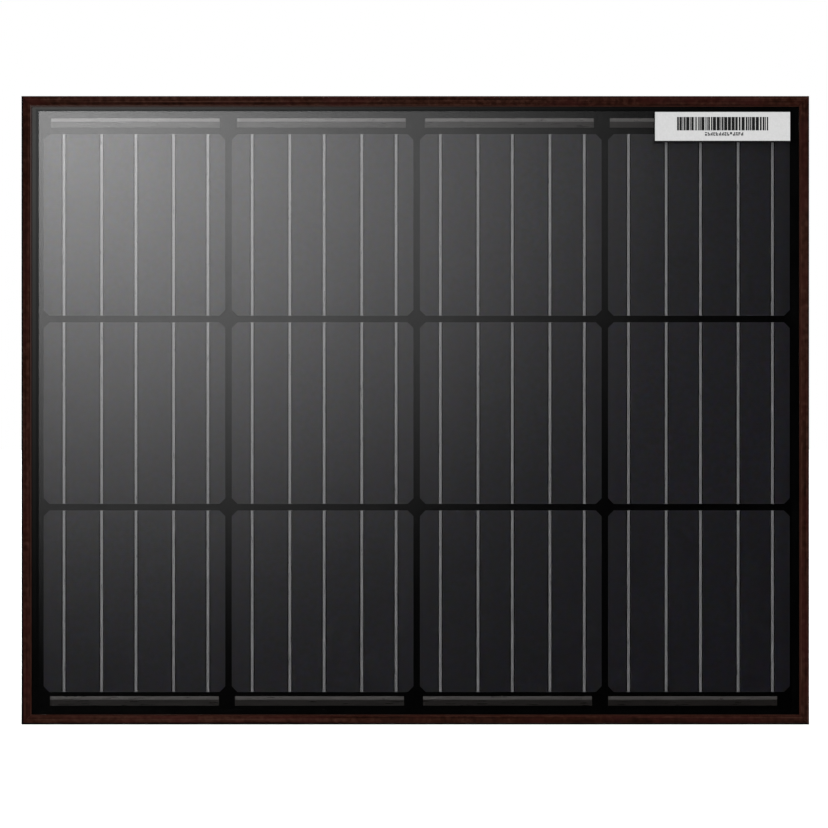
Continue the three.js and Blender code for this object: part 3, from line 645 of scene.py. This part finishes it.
def make_gasket(side):
    """A rubber strip in three steps: a bead beside the frame, a wide lip, and a thin edge on the glass."""
    node = f"glass_gasket_{side}"
    upright = side in UPRIGHT
    own, next_lip = gasket_lip(side), gasket_lip("bottom" if upright else "left")
    bead, edge = (0.7 * MM, 2.6 * MM) if upright else (1.5 * MM, 1.5 * MM)
    tucked_under_rail = 1.5 * MM
    front = front_of(node)
    lip_front, edge_front, back = (front + depth * MM for depth in (0.12, 0.25, 0.5))
    looks = ["gasket_outer", "gasket_middle", "gasket_inner"]
    profile = [
        (RAIL_LIP - tucked_under_rail, back, "gasket_middle"),
        (RAIL_LIP - tucked_under_rail, front, "gasket_outer"),
        (RAIL_LIP + bead, front, "gasket_outer"),
        (RAIL_LIP + bead, lip_front, "gasket_middle"),
        (own - edge, lip_front, "gasket_middle"),
        (own - edge, edge_front, "gasket_inner"),
        (own, edge_front, "gasket_inner"),
        (own, back, "gasket_inner"),
    ]
    half = HALF_HEIGHT if upright else HIGH.x
    bm = bmesh.new()
    rings = []
    for end in (-1, 1):
        ring = []
        for inward, depth, _ in profile:
            past_rail = max(inward - RAIL_LIP, 0) * (next_lip - RAIL_LIP) / (own - RAIL_LIP)
            x, z = side_point(side, end * (half - min(inward, RAIL_LIP) - past_rail), inward)
            ring.append(bm.verts.new((x, depth, z)))
        rings.append(ring)
    for face, (_, _, look) in zip(join_rings(bm, *rings), profile, strict=True):
        face.material_index = looks.index(look)
    strip = piece_from(bm, f"gasket_lip_{side}", looks)
    # Its mirror image and its shadow on what lies close behind would only smear its edge.
    strip.visible_glossy = False
    strip.visible_shadow = False
    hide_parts(node)
    return strip


def soften(node, look, body="panel", radius=0.35 * MM, smooth_angle=30):
    """A moulded copy of a CAD node: the same shape with its sharp edges rounded."""
    same_point, same_plane = 0.001 * MM, math.radians(0.5)
    bm = bmesh.new()
    bm.from_mesh(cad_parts[node].data)
    bmesh.ops.remove_doubles(bm, verts=bm.verts, dist=same_point)
    bmesh.ops.dissolve_limit(bm, angle_limit=same_plane, verts=bm.verts, edges=bm.edges)
    piece = piece_from(bm, f"{node}_moulded", [look], body)
    rounding = piece.modifiers.new("rounding", "BEVEL")
    rounding.width = radius
    rounding.segments = 3
    rounding.limit_method = "ANGLE"
    rounding.angle_limit = math.radians(smooth_angle)
    rounding.use_clamp_overlap = True
    piece.data.shade_smooth()
    piece.data.set_sharp_from_angle(angle=math.radians(smooth_angle))
    rounding.harden_normals = True
    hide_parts(node)
    return piece


def make_lid_ribs():
    """Raised lines on the lid: a border, a row of cooling ribs, and a minus and a plus above the glands."""
    base = middle("jbox_base")
    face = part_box("jbox_lid")[1][1]
    proud, sunk = 0.45 * MM, 0.3 * MM
    border_x, border_z, border_width = 38 * MM, 29 * MM, 1.4 * MM
    rib_count, rib_pitch, rib_width, rib_height, rib_z = 9, 6.5 * MM, 2.2 * MM, 34 * MM, 6 * MM
    sign_x, sign_z, sign_length, sign_width = 22 * MM, -20 * MM, 7 * MM, 1.5 * MM
    bm = bmesh.new()

    def bar(x, z, width, height):
        corner_low = (base.x + x - width / 2, face - sunk, base.z + z - height / 2)
        corner_high = (base.x + x + width / 2, face + proud, base.z + z + height / 2)
        add_block(bm, corner_low, corner_high, bevel=0.25 * MM)

    for z in (-border_z, border_z):
        bar(0, z, 2 * border_x, border_width)
    for x in (-border_x, border_x):
        bar(x, 0, border_width, 2 * border_z + border_width)
    for i in range(rib_count):
        bar((i - (rib_count - 1) / 2) * rib_pitch, rib_z, rib_width, rib_height)
    for x in (-sign_x, sign_x):
        bar(x, sign_z, sign_length, sign_width)
    bar(sign_x, sign_z, sign_width, sign_length)
    ribs = piece_from(bm, "jbox_lid_ribs", ["plastic"], "jbox_lid", smooth_angle=40)


def make_nut_grips(side):
    """Fine grip ribs on the six flats of a gland's nut."""
    node = f"gland_{side}_nut"
    low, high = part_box(node)
    centre = middle(node)
    flats = min(high[0] - low[0], high[1] - low[1]) / 2
    sunk, proud = 0.35 * MM, 0.18 * MM
    pitch, width, height, below_top = 1.35 * MM, 0.6 * MM, 5 * MM, 6.2 * MM
    place = Matrix.Translation((centre.x, centre.y, high[2] - below_top))
    bm = bmesh.new()
    for flat in range(6):
        turn = Matrix.Rotation(flat * math.pi / 3, 4, "Z")
        for i in range(-2, 3):
            corner_low = (i * pitch - width / 2, flats - sunk, 0)
            corner_high = (i * pitch + width / 2, flats + proud, height)
            rib = add_block(bm, corner_low, corner_high, bevel=0.12 * MM)
            bmesh.ops.transform(bm, matrix=place @ turn, verts=rib)
    grips = piece_from(bm, f"{node}_grips", ["nylon"], node, smooth_angle=40)


def make_rail_edge(side):
    """The polished inner edge of a rail's front: a very thin strip, mitred at its ends."""
    outer, inner = (RAIL_LIP + reach * MM for reach in EDGE_REACH[side])
    proud = 0.03 * MM
    profile = [(outer, 0.0), (outer + proud, proud), (inner - proud, proud), (inner, 0.0)]
    half = HALF_HEIGHT if side in UPRIGHT else HIGH.x
    bm = bmesh.new()
    rings = []
    for end in (-1, 1):
        ring = []
        for inward, height in profile:
            x, z = side_point(side, end * (half - inward), inward)
            ring.append(bm.verts.new((x, LOW.y - height, z)))
        rings.append(ring)
    join_rings(bm, *rings)
    edge = piece_from(bm, f"rail_edge_{side}", ["rail_edge"])
    return edge


def make_label():
    """A paper label with made-up bars, over a black sheet a little larger than it, most of all below: a
    painted shadow round the label.
    """
    low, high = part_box("label")
    left, top = low[0], high[2]
    rng = random.Random(7)
    bm = bmesh.new()

    # The label's painted shadow: a black sheet behind the paper, reaching out furthest below it.
    shadow_margin = 0.7 * MM
    paper_front, paper_back = low[1], low[1] + 0.08 * MM
    add_block(
        bm,
        (low[0] - shadow_margin, low[1] + 0.06 * MM, low[2] - 2 * shadow_margin),
        (high[0] + 0.4 * shadow_margin, high[1], high[2] + 0.4 * shadow_margin),
        material=1,
    )
    add_block(bm, (low[0], paper_front, low[2]), (high[0], paper_back, high[2]))

    def print_block(x0, z0, x1, z1):
        add_block(bm, (x0, paper_front - 0.01 * MM, z0), (x1, paper_front + 0.02 * MM, z1), material=1)

    bars_from, bars_to = left + 19 * MM, left + 98 * MM
    bars_low, bars_high = top - 15.9 * MM, top - 4.3 * MM
    narrowest = 0.5 * MM
    x = bars_from
    while x < bars_to - narrowest:
        width = rng.choice((0.8, 1.2, 1.6, 2.2, 2.8)) * MM
        print_block(x, bars_low, min(x + width, bars_to), bars_high)
        x += width + rng.choice((0.4, 0.4, 0.5, 0.8)) * MM

    marks, mark_pitch, mark_width, stroke = 14, 2.4 * MM, 1.8 * MM, 0.75 * MM
    mark_low, mark_high = top - 20.4 * MM, top - 17.4 * MM
    mark_middle = (mark_low + mark_high) / 2
    for i in range(marks):
        x0 = left + 43 * MM + i * mark_pitch
        x1 = x0 + mark_width
        strokes = [
            (x0, mark_low, x1, mark_low + stroke),
            (x0, mark_high - stroke, x1, mark_high),
            (x0, mark_middle - stroke / 2, x1, mark_middle + stroke / 2),
            (x0, mark_low, x0 + stroke, mark_middle),
            (x0, mark_middle, x0 + stroke, mark_high),
            (x1 - stroke, mark_low, x1, mark_middle),
            (x1 - stroke, mark_middle, x1, mark_high),
        ]
        for corners in rng.sample(strokes, 4):
            print_block(*corners)
    label = piece_from(bm, "barcode_label", ["paper", "ink"])
    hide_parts("label")


# ---- Stage ----


def stage_plane(name, width, height, matrix):
    """A flat rectangle that belongs to the stage, not to the panel."""
    bm = bmesh.new()
    bmesh.ops.create_grid(bm, x_segments=1, y_segments=1, size=0.5)
    for vertex in bm.verts:
        vertex.co = Vector((vertex.co.x * width, vertex.co.y * height, 0))
    mesh = bpy.data.meshes.new(name)
    bm.to_mesh(mesh)
    bm.free()
    obj = bpy.data.objects.new(name, mesh)
    obj.matrix_world = matrix
    bpy.context.collection.objects.link(obj)
    return obj


def make_floor():
    """A white floor under the panel. It stays out of mirror images."""
    side = 30
    t = Tree("floor_look")
    floor = stage_plane("floor", side, side, Matrix.Translation((0, 0, LOW.z)))
    floor.data.materials.append(t.surface(Base_Color=grey(0.86), Roughness=0.9, Specular_IOR_Level=0.0))
    floor.visible_glossy = False
    return floor


# From the panel's front to the camera, and the camera's place from the panel's middle.
CAMERA_DISTANCE = 1.9794
CAMERA_SHIFT = Vector((-1.12 * MM, 0, -3.19 * MM))


def make_camera():
    """Straight on, almost level with the panel's middle, through a long lens."""
    data = bpy.data.cameras.new("camera")
    data.lens = 100
    data.sensor_width = 36
    camera = bpy.data.objects.new("camera", data)
    camera.location = CAMERA_SHIFT + Vector((0, LOW.y - CAMERA_DISTANCE, 0))
    camera.rotation_euler = (math.radians(90), 0, 0)
    bpy.context.collection.objects.link(camera)
    bpy.context.scene.camera = camera


def light_only(light, receivers):
    """Keeps a lamp or a glowing card to these receivers."""
    linked = bpy.data.collections.new(f"{light.name}_receivers")
    for obj in receivers:
        linked.objects.link(obj)
    light.light_linking.receiver_collection = linked


def make_mirror_card(receivers):
    """A soft light card behind the camera for what shows the glass's mirror image.

    On the glass the image is brightest at peak, and it fades to nothing on an ellipse round it. The card lies
    further off, where the camera's mirrored rays have spread, so everything on it is larger by reach.
    """
    name = "mirror_card"
    card_width, card_height, card_distance = 2.6, 2.4, 3.5
    peak, peak_strength, fade_power = Vector((-0.323, 0, 0.267)), 8.1, 2.15
    fade_x, fade_z = 0.646, 0.508
    glass = front_of("front_glass")
    reach = 1 + card_distance / (CAMERA_DISTANCE - (glass - LOW.y))
    centre = CAMERA_SHIFT + reach * (peak - CAMERA_SHIFT)
    t = Tree(f"{name}_look")
    parts = t.node("SeparateXYZ", {"Vector": t.node("TexCoord").outputs["Object"]})
    across = t.math("DIVIDE", t.math("SUBTRACT", parts.outputs["X"], centre.x), fade_x * reach)
    up = t.math("DIVIDE", t.math("SUBTRACT", parts.outputs["Y"], centre.z), fade_z * reach)
    squares = t.math("ADD", t.math("MULTIPLY", across, across), t.math("MULTIPLY", up, up))
    near = t.math("SUBTRACT", 1.0, t.math("MINIMUM", t.math("SQRT", squares), 1.0))
    level = t.math("MULTIPLY", t.math("POWER", near, fade_power), peak_strength)
    light = t.node("Emission", {"Color": grey(1.0), "Strength": level}).outputs[0]
    see_through = t.node("BsdfTransparent", {"Color": grey(1.0)}).outputs[0]
    matrix = Matrix.Translation((0, glass - card_distance, 0)) @ Matrix.Rotation(math.radians(90), 4, "X")
    card = stage_plane(name, card_width, card_height, matrix)
    card.data.materials.append(t.finish(t.node("AddShader", {0: light, 1: see_through})))
    card.visible_camera = False
    card.visible_shadow = False
    light_only(card, receivers)


def make_world():
    """Soft white all round. A mirror that faces the camera sees a dark studio, which keeps the cells deep."""
    t = Tree("studio", "World")
    direction = t.node("SeparateXYZ", {"Vector": t.node("TexCoord").outputs["Generated"]})
    dark_to_bright = {"Value": direction.outputs["Y"], "From Min": -0.88, "From Max": 0.35, "To Max": 0.85}
    studio = t.node("MapRange", dark_to_bright, interpolation_type="SMOOTHSTEP").outputs["Result"]
    soft = t.node("Background", {"Color": grey(1.0), "Strength": 1.0}).outputs[0]
    mirrored = t.node("Background", {"Color": grey(1.0), "Strength": studio}).outputs[0]
    in_mirror = t.node("LightPath").outputs["Is Glossy Ray"]
    bpy.context.scene.world = t.finish(t.node("MixShader", {0: in_mirror, 1: soft, 2: mirrored}))


def make_sun(name, energy, direction, receivers=()):
    """A wide, soft sun that shines this way, on everything or on its receivers alone."""
    data = bpy.data.lights.new(name, "SUN")
    data.energy = energy
    data.angle = math.radians(25)
    sun = bpy.data.objects.new(name, data)
    sun.rotation_euler = Vector(direction).to_track_quat("-Z", "Y").to_euler()
    bpy.context.collection.objects.link(sun)
    if receivers:
        light_only(sun, receivers)


make_camera()
bpy.context.scene.view_settings.view_transform = "Standard"

for side in SIDES:
    dress(f"rail_{side}", f"frame_rail_{side}")
dress("alloy", *[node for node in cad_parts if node.startswith("corner_key")])
dress("silicon", *CELLS)
dress("bus", *BUS_BARS)
dress("front_film", "encapsulant_rear")
dress("plastic", "bypass_diode")
dress("nylon", *[f"gland_{side}_lock_nut" for side in GLANDS])
dress("rubber", "jbox_lid_seal", "gland_left_seal", "gland_right_seal")
dress("steel", "jbox_hinge_pin", *[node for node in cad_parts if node.startswith("terminal_screw")])
dress("brass", "terminal_negative", "terminal_positive")
dress("ribbon", "string_lead_negative", "string_lead_positive")
dress("silicone", "jbox_adhesive")

make_glass()
make_rear_sheet()
gaskets = [make_gasket(side) for side in SIDES]
rail_edges = [make_rail_edge(side) for side in SIDES]
soften("jbox_base", "plastic")
soften("jbox_lid", "plastic", "jbox_lid")
make_lid_ribs()
for side in GLANDS:
    soften(f"gland_{side}_body", "nylon", radius=0.3 * MM)
    nut = f"gland_{side}_nut"
    soften(nut, "nylon", nut, radius=0.4 * MM)
    make_nut_grips(side)
ribbons = make_ribbons()
bus_highlights = make_bus_highlights()
make_label()

floor = make_floor()
make_world()
make_sun("soft_key", 1.5, (0, 0.5, -0.86))
make_sun("floor_fill", 2.0, (0, 0.2, -0.98), [floor])
panel_meshes = [obj for obj in bpy.data.objects if obj.type == "MESH" and obj != floor]
make_sun("rear_key", 2.2, (-0.5, -0.7, -0.5), panel_meshes)
under_glass = [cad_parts[node] for node in (*CELLS, *BUS_BARS, "encapsulant_rear")]
make_mirror_card([*gaskets, *rail_edges, *ribbons, *bus_highlights, *under_glass])
